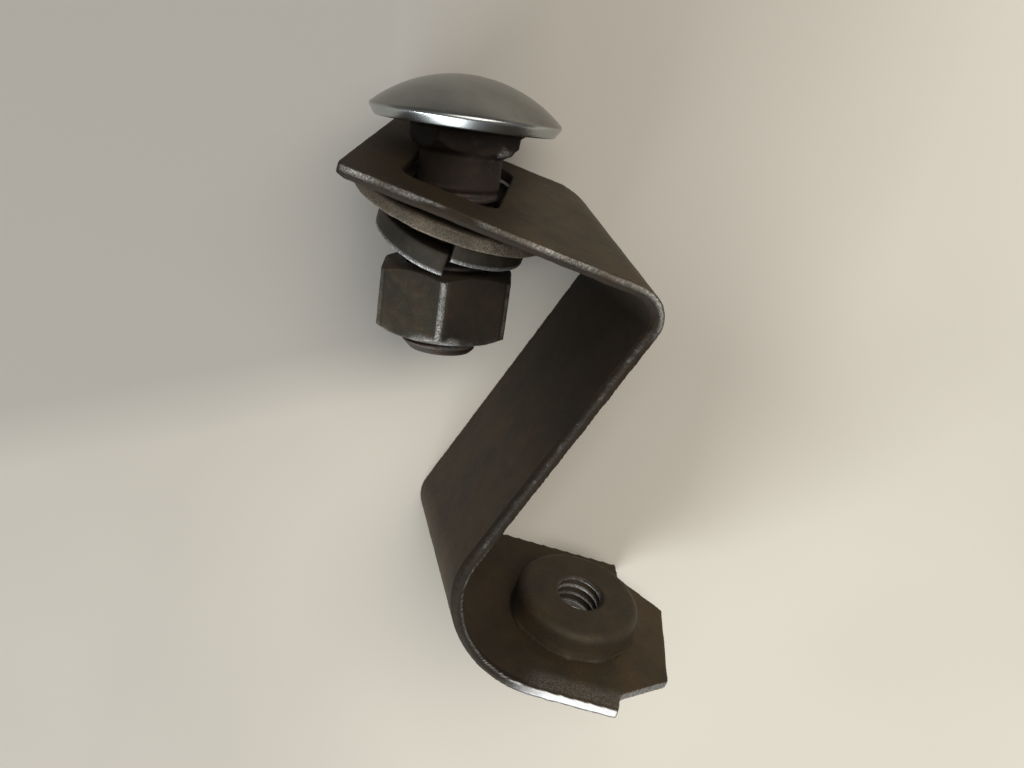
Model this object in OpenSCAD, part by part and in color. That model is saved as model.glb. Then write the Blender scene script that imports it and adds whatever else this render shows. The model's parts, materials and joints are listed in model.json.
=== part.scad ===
// Z-shaped bumper bracket with its loose capped bolt, two washers and nut.
// The strip lies on its far long edge: that edge is in the plane z = 0, +Z is up.
// +X runs along the upper edge of the top flange from its tip to the first fold,
// +Y points from that flange towards the bolt's head.

/* [Strip] */
// Width of the steel strip, measured square across it
strip_w = 31.75; // [28:0.25:36]
// Thickness of the strip
strip_t = 1.5; // [1:0.1:2]
// Lean of each flange and of the web from upright, which the skewed folds give it
lean = 14.1; // [10:0.1:17]
// Top flange, from its tip to the first fold's corner
top_len = 45; // [42:0.5:50]
// Web, from corner to corner
web_len = 58.6; // [52:0.2:66]
// Lower flange, from the second fold's corner to its shoulders
low_len = 29.2; // [27:0.2:34]
// Turn of the first fold, seen from above
turn1 = 104.6; // [100:0.2:108]
// Turn of the second fold, seen from above
turn2 = 110.2; // [106:0.2:114]
// Outer radius of the first fold at the upper edge
fold1_near_r = 3.8; // [3:0.1:6]
// Outer radius of the first fold at the edge that the part lies on
fold1_far_r = 9.2; // [6:0.2:11]
// Outer radius of the second fold at the upper edge
fold2_near_r = 12.4; // [9:0.2:14]
// Outer radius of the second fold at the edge that the part lies on
fold2_far_r = 5.4; // [4:0.2:8]

/* [Holes and tongue] */
// Width of the bolt slot along the flange
slot_w = 13; // [12.6:0.1:14]
// Length of the bolt slot across the flange
slot_l = 20.5; // [18:0.5:22]
// Distance from the tip to the slot's middle
slot_from_tip = 13.1; // [12.9:0.1:13.3]
// Radius of the slot's corners
slot_corner_r = 2.5; // [1:0.1:4]
// Distance from the shoulders to the tongue's end
tongue_len = 7.7; // [5:0.1:10]
// Width of the tongue's straight end
tongue_w = 15.2; // [12:0.2:20]
// Bolt hole in the lower flange, under the weld nut
low_hole_d = 8.4; // [8:0.1:9]

/* [Weld nut] */
// Outer diameter of the round weld nut
boss_d = 19.05; // [17:0.05:20]
// Height of the weld nut
boss_h = 4.3; // [3.5:0.1:6]
// Diameter at the crests of its 5/16 inch thread
boss_thread_d = 6.6; // [6.5:0.05:6.8]
// Distance of its axis from the second fold's corner
boss_along = 22.2; // [21:0.1:23]

/* [Bolt] */
// Diameter of the 7/16 inch bolt
bolt_d = 11.11; // [11:0.01:11.2]
// Distance of the bolt's axis from the flange's tip
bolt_from_tip = 12.9; // [12.6:0.1:13.2]
// Slope of the leaning bolt towards the flange's tip
bolt_slope_tip = 0.25; // [0.24:0.005:0.28]
// Slope of the leaning bolt towards the edge that the part lies on
bolt_slope_down = 0.172; // [0.15:0.002:0.174]
// Height of the head's rim over the flange, along the bolt
rim_low = 6.05; // [5.7:0.05:7]
// Length of the bolt under the head's rim
bolt_len = 30.5; // [29:0.1:31]
// Square neck, across its flats
neck_w = 11.7; // [11.2:0.1:12]
// Length of the square neck
neck_len = 3.2; // [2.5:0.1:3.3]
// Diameter of the polished cap
cap_d = 25.8; // [25:0.1:31]
// Height of the cap's rim band
band_h = 1.45; // [1.2:0.05:2.4]
// Rise of the cap's dome over its rim
dome_rise = 5.1; // [4:0.1:7]
// Thickness of the cap's sheet
cap_t = 0.5; // [0.3:0.05:0.8]
// Width of the lip that the cap folds under the head
lip_w = 2.2; // [1.5:0.1:2.4]

/* [Washers and nut] */
// Flat washer, outer diameter
flat_od = 28.6; // [26:0.2:30]
// Flat washer, hole
flat_id = 13; // [12.8:0.1:13.6]
// Flat washer, thickness
flat_t = 2.1; // [1.8:0.1:2.2]
// Gap between the flange and the flat washer
flat_gap = 1; // [1:0.1:1.2]
// Lock washer, outer diameter
lock_od = 20.7; // [20:0.1:22]
// Lock washer, hole
lock_id = 13.4; // [13.3:0.1:14]
// Lock washer, thickness of its section
lock_t = 3.2; // [2.6:0.1:3.2]
// Set of the lock washer: how far its two ends stand apart along its axis
lock_set = 1.6; // [0.8:0.1:1.7]
// Hexagon nut, across its flats
nut_af = 17.46; // [17:0.01:17.6]
// Hexagon nut, height
nut_h = 9.5; // [9:0.1:9.6]
// Distance from the flange to the nut's upper face, along the bolt
nut_from_flange = 12.35; // [12.2:0.05:12.6]

/* [Hidden] */
$fn = 96;

// Middle of the whole part's box, measured from the top flange's upper tip corner
centre = [32.74, -19.99];

strip_h = strip_w * cos(lean);

// Strip: one direction along the edge and one outward normal for each of its three plates
edge_angle = [0, -turn1, turn2 - turn1];
lean_side = [1, -1, 1];
function along(i) = [cos(edge_angle[i]), sin(edge_angle[i]), 0];
function level_normal(i) = [-sin(edge_angle[i]), cos(edge_angle[i]), 0];
function face_normal(i) = cos(lean) * level_normal(i) + lean_side[i] * sin(lean) * [0, 0, 1];
function down_face(i) = cross(face_normal(i), along(i));
tip = [0, 0, strip_h];
corner1 = tip + top_len * along(0);
corner2 = corner1 + web_len * along(1);
plate_start = [tip, corner1, corner2];

// Folds: a tapered fold is part of a cone that touches both plates
fold_steps = 24;
fold_r_near = [fold1_near_r, fold2_near_r];
fold_r_far = [fold1_far_r, fold2_far_r];
fold_side = [1, -1];
function unit(v) = v / norm(v);
function turned(v, axis, a) =
    v * cos(a) + cross(axis, v) * sin(a) + axis * (axis * v) * (1 - cos(a));
function fold_line(i) = let (d = unit(cross(face_normal(i), face_normal(i + 1)))) d[2] < 0 ? d : -d;
function fold_length(i) = -strip_h / fold_line(i)[2];
function half_turn(i) = acos(face_normal(i) * face_normal(i + 1)) / 2;
function outward(i) = fold_side[i] * unit(face_normal(i) + face_normal(i + 1));
function fold_corner(i) =
    plate_start[i + 1] + (i == 0 ? 0 : strip_t / cos(half_turn(i))) * outward(i);
function fold_r(i, t) = fold_r_near[i] + (fold_r_far[i] - fold_r_near[i]) * t / fold_length(i);
function fold_centre(i, t) =
    fold_corner(i) + fold_line(i) * t - outward(i) * fold_r(i, t) / cos(half_turn(i));
function fold_axis(i) = unit(fold_centre(i, 1) - fold_centre(i, 0));

// Stations along the strip: each holds its outer face's near and far points, then its inner
// face's far and near points, near being the upper long edge and far the one that it lies on
function at_height(a, b, z) = a + (b - a) * (z - a[2]) / (b[2] - a[2]);
function cone_point(i, q, inset, z) =
    at_height(fold_centre(i, 0) + (fold_r(i, 0) - inset) * q,
              fold_centre(i, 30) + (fold_r(i, 30) - inset) * q, z);
function fold_station(i, k) =
    let (from = fold_side[i] * face_normal(i),
         to = fold_side[i] * face_normal(i + 1),
         u = fold_axis(i),
         from_flat = unit(from - (from * u) * u),
         to_flat = unit(to - (to * u) * u),
         way = cross(from_flat, to_flat) * u > 0 ? 1 : -1,
         q = turned(from, u, way * acos(from_flat * to_flat) * k / fold_steps),
         face_inset = i == 0 ? 0 : strip_t,
         back_inset = strip_t - face_inset)
    [cone_point(i, q, face_inset, strip_h), cone_point(i, q, face_inset, 0),
     cone_point(i, q, back_inset, 0), cone_point(i, q, back_inset, strip_h)];
function plate_station(i, s) =
    let (near = plate_start[i] + s * along(i),
         far = near + strip_w * down_face(i),
         back = -strip_t / cos(lean) * level_normal(i))
    [near, far, far + back, near + back];

// Bolt: its axis leans, and is set from the flange's outer face
bolt_axis = unit(face_normal(0) - bolt_slope_tip * along(0) + bolt_slope_down * down_face(0));
bolt_foot = tip + bolt_from_tip * along(0) + strip_w / 2 * down_face(0);
bolt_side = unit(cross(down_face(0), bolt_axis));
lock_lean = 0.03;
lock_axis = unit(face_normal(0) - lock_lean * along(0));
lock_side = unit(cross(down_face(0), lock_axis));
bolt_per_normal = 1 / (bolt_axis * face_normal(0));
flat_mid = strip_t + flat_gap + flat_t / 2;
lock_mid = 7.7;
shank_top = rim_low - neck_len;
bolt_end = rim_low - bolt_len;
band_top = rim_low + band_h;
neck_turn = 30;

// Running gap between the nut's thread crests and the bolt's
thread_gap = 0.05;
// How far the cap's rim tapers in below its widest line
rim_in = 0.95;
// How far the slot, and the weld nut with its hole, sit from the strip's middle line
slot_offset = 0.4;
boss_offset = 1;
// How far a cutter reaches past the surfaces that it cuts
over = 3;

// Children drawn in a frame with its own X, Z and origin, placed in the part's frame
module in_frame(origin, x, z) {
    y = cross(z, x);
    translate([-centre[0], -centre[1], 0])
        multmatrix([
            [x[0], y[0], z[0], origin[0]],
            [x[1], y[1], z[1], origin[1]],
            [x[2], y[2], z[2], origin[2]],
            [0, 0, 0, 1]
        ])
            children();
}

module on_plate(i) in_frame(plate_start[i], along(i), face_normal(i)) children();

module on_bolt() in_frame(bolt_foot, bolt_side, bolt_axis) children();

module rounded_slot(w, l, r) {
    square([w - 2 * r, l], center = true);
    square([w, l - 2 * r], center = true);
    for (x = [-1, 1], y = [-1, 1])
        translate([x * (w / 2 - r), y * (l / 2 - r)])
            circle(r);
}

// The folded strip, as one closed body through all its stations
module folded_strip() {
    stations = concat(
        [plate_station(0, 0)],
        [for (i = [0, 1], k = [0:fold_steps]) fold_station(i, k)],
        [plate_station(2, low_len + tongue_len)]
    );
    last = 4 * (len(stations) - 1);
    points = [for (station = stations, p = station) p];
    sides = [for (k = [0:4:last - 4], j = [0:3])
        [k + j, k + (j + 1) % 4, k + 4 + (j + 1) % 4, k + 4 + j]];
    translate([-centre[0], -centre[1], 0])
        polyhedron(points, concat([[3, 2, 1, 0], [last, last + 1, last + 2, last + 3]], sides));
}

module through_plate(i) {
    on_plate(i)
        translate([0, 0, -strip_t - over])
            linear_extrude(strip_t + 2 * over)
                children();
}

// What is cut away beside the tongue at one long edge; the other edge has the same, mirrored
module shoulder_cut() {
    shoulder = 3.2;
    shoulder_slant = 0.5;
    reach = low_len + tongue_len;
    beside = (strip_w - tongue_w) / 2;
    polygon([
        [low_len, -over],
        [low_len + shoulder_slant, shoulder],
        [reach, beside],
        [reach + over, beside],
        [reach + over, -over]
    ]);
}

module bracket() {
    tip_bevel = 1.6;
    color("#4a443e")
        difference() {
            folded_strip();
            through_plate(0)
                translate([slot_from_tip, strip_w / 2 + slot_offset])
                    rounded_slot(slot_w, slot_l, slot_corner_r);
            through_plate(0)
                rotate(45)
                    square([tip_bevel, tip_bevel], center = true);
            through_plate(2)
                shoulder_cut();
            through_plate(2)
                translate([0, strip_w])
                    mirror([0, 1])
                        shoulder_cut();
            on_plate(2)
                translate([boss_along, strip_w / 2 + boss_offset, -strip_t - over])
                    cylinder(d = low_hole_d, h = strip_t + 2 * over);
        }
}

module weld_nut() {
    edge = 0.5;
    color("#3d3833")
        on_plate(2)
            translate([boss_along, strip_w / 2 + boss_offset, 0])
                difference() {
                    union() {
                        cylinder(d = boss_d, h = boss_h - edge);
                        translate([0, 0, boss_h - edge])
                            cylinder(d1 = boss_d, d2 = boss_d - 2 * edge, h = edge);
                    }
                    translate([0, 0, -over])
                        cylinder(d = boss_thread_d, h = boss_h + 2 * over);
                }
}

// Half outline of a dome: a flat base at height z, a rim of radius r and the given rise
module dome_outline(r, z, rise) {
    ball = (r * r + rise * rise) / (2 * rise);
    intersection() {
        translate([0, z + rise - ball])
            circle(ball, $fn = 180);
        translate([0, z])
            square([r + over, rise + over]);
    }
}

// Half outline of the head inside its cap
module head_outline(inset) {
    dome_outline(cap_d / 2 - inset, band_top, dome_rise - inset);
    polygon([
        [0, rim_low + inset],
        [cap_d / 2 - inset - rim_in, rim_low + inset],
        [cap_d / 2 - inset, band_top],
        [0, band_top]
    ]);
}

module carriage_bolt() {
    tip_chamfer = 1.3;
    corner_cut_low = 0.5;
    corner_cut_high = 4.3;
    color("#5a4a3e")
        on_bolt() {
            rotate_extrude()
                head_outline(cap_t);
            translate([0, 0, bolt_end + tip_chamfer])
                cylinder(d = bolt_d, h = rim_low + cap_t - bolt_end - tip_chamfer);
            translate([0, 0, bolt_end])
                cylinder(d1 = bolt_d - 2 * tip_chamfer, d2 = bolt_d, h = tip_chamfer);
            intersection() {
                translate([0, 0, shank_top])
                    rotate(neck_turn)
                        translate([-neck_w / 2, -neck_w / 2, 0])
                            cube([neck_w, neck_w, neck_len + cap_t]);
                translate([0, 0, shank_top])
                    cylinder(
                        r1 = neck_w / 2 + corner_cut_low,
                        r2 = neck_w / 2 + corner_cut_high,
                        h = neck_len + cap_t
                    );
            }
        }
}

module head_cap() {
    mouth_r = cap_d / 2 - rim_in - lip_w;
    color("#aeb3b8")
        on_bolt()
            rotate_extrude()
                difference() {
                    head_outline(0);
                    head_outline(cap_t);
                    square([2 * mouth_r, 2 * (rim_low + cap_t)], center = true);
                }
}

module flat_washer() {
    color("#6b6157")
        in_frame(bolt_foot - bolt_axis * flat_mid * bolt_per_normal, along(0), face_normal(0))
            difference() {
                cylinder(d = flat_od, h = flat_t, center = true);
                cylinder(d = flat_id, h = flat_t + 2 * over, center = true);
            }
}

// Spring ring: one turn of a square section whose ends stand apart along the axis
module lock_washer() {
    rings = 72;
    split_at = -82;
    split_half = 3.5;
    function ring_angle(k) = split_at + split_half + (360 - 2 * split_half) * k / rings;
    function ring_rise(k) = lock_set * (0.5 - k / rings);
    section = [[lock_id / 2, -lock_t / 2], [lock_od / 2, -lock_t / 2],
               [lock_od / 2, lock_t / 2], [lock_id / 2, lock_t / 2]];
    points = [for (k = [0:rings], s = section)
        [s[0] * cos(ring_angle(k)), s[0] * sin(ring_angle(k)), s[1] + ring_rise(k)]];
    sides = [for (k = [0:rings - 1], j = [0:3])
        [4 * k + j, 4 * k + 4 + j, 4 * k + 4 + (j + 1) % 4, 4 * k + (j + 1) % 4]];
    first_end = [0, 1, 2, 3];
    last_end = [for (j = [3:-1:0]) 4 * rings + j];
    color("#4b443d")
        in_frame(bolt_foot - bolt_axis * lock_mid, lock_side, lock_axis)
            polyhedron(points, concat([first_end, last_end], sides));
}

module hex_nut() {
    nut_turn = -84;
    face_r = nut_af / 2 - 0.3;
    corner_r = nut_af / 2 / cos(30);
    chamfer_h = (corner_r - face_r) * tan(30);
    color("#584c42")
        on_bolt()
            translate([0, 0, -nut_from_flange - nut_h])
                difference() {
                    intersection() {
                        rotate(nut_turn)
                            cylinder(r = corner_r, h = nut_h, $fn = 6);
                        union() {
                            cylinder(r1 = face_r, r2 = corner_r, h = chamfer_h);
                            translate([0, 0, chamfer_h])
                                cylinder(r = corner_r + over, h = nut_h - 2 * chamfer_h);
                            translate([0, 0, nut_h - chamfer_h])
                                cylinder(r1 = corner_r, r2 = face_r, h = chamfer_h);
                        }
                    }
                    translate([0, 0, -over])
                        cylinder(d = bolt_d + 2 * thread_gap, h = nut_h + 2 * over);
                }
}

bracket();
weld_nut();
carriage_bolt();
head_cap();
flat_washer();
lock_washer();
hex_nut();
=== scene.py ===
"""Looks of the Z-shaped bumper bracket, its capped bolt, washers and nut."""

import json
import math

import bpy
import numpy as np
from mathutils import Matrix, Vector


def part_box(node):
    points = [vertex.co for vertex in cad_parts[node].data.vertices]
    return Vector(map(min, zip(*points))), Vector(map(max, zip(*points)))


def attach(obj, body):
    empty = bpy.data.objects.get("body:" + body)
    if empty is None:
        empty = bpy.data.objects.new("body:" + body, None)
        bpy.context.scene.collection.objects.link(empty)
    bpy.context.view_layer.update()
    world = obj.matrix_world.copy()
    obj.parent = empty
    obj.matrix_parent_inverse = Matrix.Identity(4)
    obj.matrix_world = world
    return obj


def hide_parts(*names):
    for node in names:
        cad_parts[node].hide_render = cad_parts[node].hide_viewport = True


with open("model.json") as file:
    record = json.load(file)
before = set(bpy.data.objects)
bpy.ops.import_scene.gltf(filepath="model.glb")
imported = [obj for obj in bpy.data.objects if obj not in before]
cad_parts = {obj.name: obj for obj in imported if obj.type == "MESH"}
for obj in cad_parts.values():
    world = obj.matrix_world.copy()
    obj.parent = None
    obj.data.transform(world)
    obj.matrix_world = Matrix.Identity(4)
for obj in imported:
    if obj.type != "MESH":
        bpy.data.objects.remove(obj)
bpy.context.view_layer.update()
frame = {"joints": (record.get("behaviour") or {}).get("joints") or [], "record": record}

MM = 0.001

# ---------------------------------------------------------------- geometry of the part, in mm

INCH = 25.4

STRIP_W = 31.75
STRIP_T = 1.5
LEAN = math.radians(14.1)
TOP_LEN = 45.0
WEB_LEN = 58.6
LOW_LEN = 29.2
TONGUE_LEN = 7.7
TONGUE_W = 15.2
TURN1 = math.radians(104.6)
TURN2 = math.radians(110.2)
FOLD_R_NEAR = (3.8, 12.4)
FOLD_R_FAR = (9.2, 5.4)
FOLD_STEPS = 40
# Which of a fold's two sides bulges, and which way each plate's outer face leans
FOLD_SIDE = (1, -1)
PLATE_SIDE = (1, -1, 1)
STRIP_H = STRIP_W * math.cos(LEAN)

# Where the folds lie along the strip's outer upper edge, from the tip
TOP_END = 47.0
FOLD2_START, FOLD2_END = 84.0, 106.0

SLOT_W, SLOT_L, SLOT_R = 13.0, 20.5, 2.5
SLOT_FROM_TIP = 13.1
SLOT_OFFSET = 0.4
TIP_CLIP = [(-3, -3), (2.0, -3), (1.3, 0.0), (0.45, 0.45), (0.0, 1.3), (-3, 2.0)]
LOW_HOLE_R = 4.2

BOSS_R = 19.05 / 2
BOSS_H = 4.3
BOSS_THREAD_R = 3.3
BOSS_PITCH = INCH / 18

BOLT_FROM_TIP = 12.9
BOLT_R = 11.11 / 2
BOLT_PITCH = INCH / 14
RIM_LOW = 6.05
BOLT_LEN = 30.5
TIP_CHAMFER = 1.3
NECK_W = 11.7
NECK_LEN = 3.2
NECK_TURN = math.radians(30)
CAP_R = 25.8 / 2
CAP_T = 0.5
BAND_H = 1.45
DOME_RISE = 5.1
RIM_IN = 0.95
LIP_R = CAP_R - RIM_IN - 2.2

FLAT_R, FLAT_HOLE_R, FLAT_T, FLAT_GAP = 14.3, 6.5, 2.1, 1.0
LOCK_R, LOCK_HOLE_R, LOCK_T, LOCK_MID = 10.35, 6.7, 3.2, 7.7
LOCK_SET, LOCK_DROOP, LOCK_LEAN = 1.6, 0.6, 0.03
LOCK_START = math.radians(-80.8)
LOCK_SWEEP = math.radians(357.6)
NUT_AF, NUT_H, NUT_FROM_FLANGE = 17.46, 9.5, 12.35
NUT_TURN = math.radians(-84)


def vec(*values):
    return np.array(values, float)


def unit(v):
    return v / np.linalg.norm(v)


def turned(v, axis, angle):
    return (
        v * math.cos(angle)
        + np.cross(axis, v) * math.sin(angle)
        + axis * (axis @ v) * (1 - math.cos(angle))
    )


bracket_low, bracket_high = (np.array(corner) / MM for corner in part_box("bracket"))
EDGE_ANGLE = (0.0, -TURN1, TURN2 - TURN1)
ALONG = [vec(math.cos(a), math.sin(a), 0) for a in EDGE_ANGLE]
LEVEL = [vec(-math.sin(a), math.cos(a), 0) for a in EDGE_ANGLE]
UP = vec(0, 0, 1)
FACE = [math.cos(LEAN) * LEVEL[i] + PLATE_SIDE[i] * math.sin(LEAN) * UP for i in range(3)]
DOWN = [np.cross(FACE[i], ALONG[i]) for i in range(3)]
TIP = vec(bracket_low[0], bracket_high[1] - STRIP_W * math.sin(LEAN), STRIP_H)
CORNER = [TIP, TIP + TOP_LEN * ALONG[0], TIP + TOP_LEN * ALONG[0] + WEB_LEN * ALONG[1]]

joints = {joint["name"]: joint for joint in frame["joints"]}
BOLT_AXIS = unit(np.array(joints["nut_turn"]["axis"], float))
BOLT_FOOT = TIP + BOLT_FROM_TIP * ALONG[0] + STRIP_W / 2 * DOWN[0]
BOLT_SIDE = unit(np.cross(DOWN[0], BOLT_AXIS))
LOCK_AXIS = unit(FACE[0] - LOCK_LEAN * ALONG[0])
LOCK_SIDE = unit(np.cross(DOWN[0], LOCK_AXIS))
mounts = {mount["name"]: mount for mount in frame["record"]["mounts"]}
BOSS_AXIS = FACE[2]
BOSS_FOOT = np.array(mounts["weld_nut_thread"]["pos_m"], float) / MM - BOSS_H / 2 * BOSS_AXIS

# ---------------------------------------------------------------- smooth seeded noise

_lattice = np.random.default_rng(7).random((64, 64, 64))


def value_noise(points, wavelength, seed):
    """Smooth noise from -1 to 1 at points in mm; wavelength is a number, or one for each axis."""
    p = np.asarray(points) / np.asarray(wavelength, float) + 17.3 * (seed + 1)
    cell = np.floor(p).astype(int)
    f = p - cell
    f = f * f * (3 - 2 * f)
    total = np.zeros(len(p))
    for dx in (0, 1):
        for dy in (0, 1):
            for dz in (0, 1):
                weight = (
                    (f[:, 0] if dx else 1 - f[:, 0])
                    * (f[:, 1] if dy else 1 - f[:, 1])
                    * (f[:, 2] if dz else 1 - f[:, 2])
                )
                i = (cell + (dx, dy, dz)) & 63
                total += weight * _lattice[i[:, 0], i[:, 1], i[:, 2]]
    return 2 * total - 1


def smoothstep(low, high, x):
    """0 at low and 1 at high, with a soft start and end; low may be the larger of the two."""
    t = np.clip((np.asarray(x) - low) / (high - low), 0, 1)
    return t * t * (3 - 2 * t)


# ---------------------------------------------------------------- mesh helpers


def new_object(name, points_mm, faces):
    mesh = bpy.data.meshes.new(name)
    mesh.from_pydata((np.asarray(points_mm) * MM).tolist(), [], faces)
    mesh.validate()
    mesh.update()
    obj = bpy.data.objects.new(name, mesh)
    bpy.context.scene.collection.objects.link(obj)
    return obj


def points_of(obj):
    co = np.empty(len(obj.data.vertices) * 3, np.float32)
    obj.data.vertices.foreach_get("co", co)
    return co.reshape(-1, 3).astype(float) / MM


def normals_of(obj):
    normals = np.empty(len(obj.data.vertices) * 3, np.float32)
    obj.data.vertex_normals.foreach_get("vector", normals)
    return normals.reshape(-1, 3).astype(float)


def set_points(obj, points_mm):
    obj.data.vertices.foreach_set("co", (points_mm * MM).astype(np.float32).ravel())
    obj.data.update()


def set_value(obj, name, values):
    attribute = obj.data.attributes.new(name, "FLOAT", "POINT")
    attribute.data.foreach_set("value", np.asarray(values, np.float32))


def shade_smooth(obj):
    obj.data.polygons.foreach_set("use_smooth", [True] * len(obj.data.polygons))


def apply_modifiers(obj):
    depsgraph = bpy.context.evaluated_depsgraph_get()
    mesh = bpy.data.meshes.new_from_object(obj.evaluated_get(depsgraph))
    obj.modifiers.clear()
    old = obj.data
    obj.data = mesh
    bpy.data.meshes.remove(old)


def cut(obj, cutter):
    modifier = obj.modifiers.new("cut", "BOOLEAN")
    modifier.operation = "DIFFERENCE"
    modifier.solver = "EXACT"
    modifier.object = cutter
    apply_modifiers(obj)
    bpy.data.objects.remove(cutter)


def remesh(obj, voxel_mm):
    modifier = obj.modifiers.new("remesh", "REMESH")
    modifier.mode = "VOXEL"
    modifier.voxel_size = voxel_mm * MM
    apply_modifiers(obj)


def smooth(obj, rounds):
    modifier = obj.modifiers.new("smooth", "SMOOTH")
    modifier.factor = 0.5
    modifier.iterations = rounds
    apply_modifiers(obj)


def along_and_off(p, origin, axis):
    """How far points lie along an axis from its origin, and how far off the axis."""
    along = (p - origin) @ axis
    return along, np.linalg.norm((p - origin) - along[:, None] * axis, axis=1)


def prism(name, outline, low, high, origin, x, y, z):
    """A closed prism of a 2-D outline, from low to high along z, placed in a frame."""
    area = sum(a[0] * b[1] - b[0] * a[1] for a, b in zip(outline, outline[1:] + outline[:1]))
    outline = outline if area > 0 else outline[::-1]
    count = len(outline)
    points = [origin + x * u + y * v + z * h for h in (low, high) for u, v in outline]
    faces = [list(range(count - 1, -1, -1)), list(range(count, 2 * count))]
    faces += [[k, (k + 1) % count, count + (k + 1) % count, count + k] for k in range(count)]
    return new_object(name, points, faces)


def turned_grid(name, radius, height, origin, x, axis, closed):
    """A mesh from radius[angle, row] and height[angle, row]; closed joins the last row to the
    first, and otherwise the two ends are shut with a middle point each."""
    angles, rows = radius.shape
    theta = np.linspace(0, 2 * math.pi, angles, endpoint=False)[:, None]
    y = np.cross(axis, x)
    points = (
        origin
        + (radius * np.cos(theta))[..., None] * x
        + (radius * np.sin(theta))[..., None] * y
        + height[..., None] * axis
    ).reshape(-1, 3)
    faces = []
    for i in range(angles):
        k = (i + 1) % angles
        for j in range(rows if closed else rows - 1):
            m = (j + 1) % rows
            faces.append([i * rows + j, i * rows + m, k * rows + m, k * rows + j])
    if not closed:
        first, last = len(points), len(points) + 1
        points = np.vstack([
            points,
            origin + axis * height[:, 0].mean(),
            origin + axis * height[:, -1].mean(),
        ])
        for i in range(angles):
            k = (i + 1) % angles
            faces.append([first, i * rows, k * rows])
            faces.append([last, k * rows + rows - 1, i * rows + rows - 1])
    obj = new_object(name, points, faces)
    shade_smooth(obj)
    return obj


def resample(profile, step):
    """Points along a 2-D polyline at most step apart, corners kept."""
    out = [profile[0]]
    for a, b in zip(profile[:-1], profile[1:]):
        a, b = np.array(a, float), np.array(b, float)
        count = max(1, int(math.ceil(np.linalg.norm(b - a) / step)))
        out += [tuple(a + (b - a) * k / count) for k in range(1, count + 1)]
    return np.array(out, float)


def rounded(profile, radii, closed, steps):
    """A 2-D polyline with its corners rounded, each by its own radius."""
    count = len(profile)
    out = []
    for i in range(count):
        p = np.array(profile[i], float)
        r = radii[i]
        if r == 0 or (not closed and i in (0, count - 1)):
            out.append(tuple(p))
            continue
        a = unit(np.array(profile[i - 1], float) - p)
        b = unit(np.array(profile[(i + 1) % count], float) - p)
        half = math.acos(np.clip(a @ b, -1, 1)) / 2
        reach = r / math.tan(half)
        centre = p + unit(a + b) * r / math.sin(half)
        start, end = p + a * reach - centre, p + b * reach - centre
        sweep = math.acos(np.clip(start @ end / r**2, -1, 1))
        side = 1 if start[0] * end[1] - start[1] * end[0] > 0 else -1
        for k in range(steps + 1):
            angle = side * sweep * k / steps
            c, s = math.cos(angle), math.sin(angle)
            arm = vec(c * start[0] - s * start[1], s * start[0] + c * start[1])
            out.append(tuple(centre + arm))
    return out


# ---------------------------------------------------------------- bracket


def fold_stations(i):
    """Rows of [outer near, outer far, inner far, inner near] round fold i, a conical fold."""
    line = unit(np.cross(FACE[i], FACE[i + 1]))
    line = line if line[2] < 0 else -line
    half = math.acos(FACE[i] @ FACE[i + 1]) / 2
    outward = FOLD_SIDE[i] * unit(FACE[i] + FACE[i + 1])
    outer_inset = 0 if i == 0 else STRIP_T
    corner = CORNER[i + 1] + outer_inset / math.cos(half) * outward
    length = -STRIP_H / line[2]

    def radius(t):
        return FOLD_R_NEAR[i] + (FOLD_R_FAR[i] - FOLD_R_NEAR[i]) * t / length

    def centre(t):
        return corner + line * t - outward * radius(t) / math.cos(half)

    axis = unit(centre(1.0) - centre(0.0))
    start, end = FOLD_SIDE[i] * FACE[i], FOLD_SIDE[i] * FACE[i + 1]
    start_flat = unit(start - (start @ axis) * axis)
    end_flat = unit(end - (end @ axis) * axis)
    sweep = math.atan2(np.cross(start_flat, end_flat) @ axis, start_flat @ end_flat)
    rows = []
    for k in range(FOLD_STEPS + 1):
        q = turned(start, axis, sweep * k / FOLD_STEPS)
        row = []
        for inset, level in (
            (outer_inset, STRIP_H),
            (outer_inset, 0),
            (STRIP_T - outer_inset, 0),
            (STRIP_T - outer_inset, STRIP_H),
        ):
            a = centre(0) + (radius(0) - inset) * q
            b = centre(length) + (radius(length) - inset) * q
            row.append(a + (b - a) * (level - a[2]) / (b[2] - a[2]))
        rows.append(row)
    return rows


def plate_station(i, s):
    """One such row on flat plate i, s mm from the plate's first corner."""
    near = CORNER[i] + s * ALONG[i]
    far = near + STRIP_W * DOWN[i]
    back = -STRIP_T / math.cos(LEAN) * LEVEL[i]
    return [near, far, far + back, near + back]


def plate_cutter(i, outline):
    """A prism through plate i; its outline is in mm along the upper edge and down from it."""
    return prism("cutter", outline, -4, 3, CORNER[i], ALONG[i], DOWN[i], FACE[i])


def rounded_rectangle(w, h, r, u, v):
    corners = [(-w / 2, -h / 2), (w / 2, -h / 2), (w / 2, h / 2), (-w / 2, h / 2)]
    return [(a + u, b + v) for a, b in rounded(corners, [r] * 4, True, 8)]


def edge_path(line, p):
    """For points by the upper edge: how far along the strip's outer face they lie, and how far
    from that face they are."""
    starts, steps = line[:-1], np.diff(line, axis=0)
    lengths = np.linalg.norm(steps, axis=1)
    before = np.concatenate([[0], np.cumsum(lengths)[:-1]])
    best = np.full(len(p), np.inf)
    travelled = np.zeros(len(p))
    for start, step, length, passed in zip(starts, steps, lengths, before):
        t = np.clip((p - start) @ step / length**2, 0, 1)
        away = np.linalg.norm(p - start - t[:, None] * step, axis=1)
        nearer = away < best
        best[nearer] = away[nearer]
        travelled[nearer] = (passed + t * length)[nearer]
    return travelled, best


def bracket_stations():
    """Every cross-section of the strip, from its tip to the end of its tongue."""
    rows = [plate_station(0, 0)] + fold_stations(0) + fold_stations(1)
    rows.append(plate_station(2, LOW_LEN + TONGUE_LEN))
    return rows


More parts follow.
